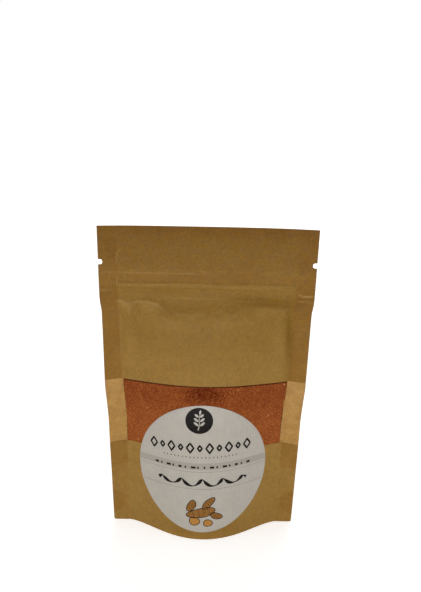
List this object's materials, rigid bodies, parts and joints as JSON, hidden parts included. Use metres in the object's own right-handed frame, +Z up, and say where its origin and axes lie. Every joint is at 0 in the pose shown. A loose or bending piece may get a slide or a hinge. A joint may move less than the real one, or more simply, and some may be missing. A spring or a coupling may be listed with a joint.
{
  "type": "stand-up pouch",
  "caption": "Filled kraft paper stand-up pouch with a clear window band across its front, a round label, a press-to-close zip, tear notches and a folded bottom gusset.",
  "frame": {"origin": "middle of the base, on the surface that the pouch stands on", "axes": "+Z up, front with the window and label towards -Y, +X to the right as seen from the front"},
  "size_m": [0.1102, 0.0301, 0.172],
  "materials": {
    "kraft": "uncoated brown kraft paper, matt",
    "kraft_laminate": "brown kraft paper laminated to film on its inner side",
    "clear_film": "clear gloss film",
    "zip_plastic": "translucent moulded plastic",
    "turmeric": "fine dry powder",
    "label_paper": "satin white label paper"
  },
  "bodies": {
    "root": {"front_kraft_upper": "kraft", "front_kraft_lower": "kraft", "front_film": "clear_film", "back_panel": "kraft_laminate", "gusset_panel": "kraft_laminate", "zip_track_front": "zip_plastic", "zip_track_back": "zip_plastic", "powder_fill": "turmeric", "label_disc": "label_paper"}
  },
  "joints": []
}
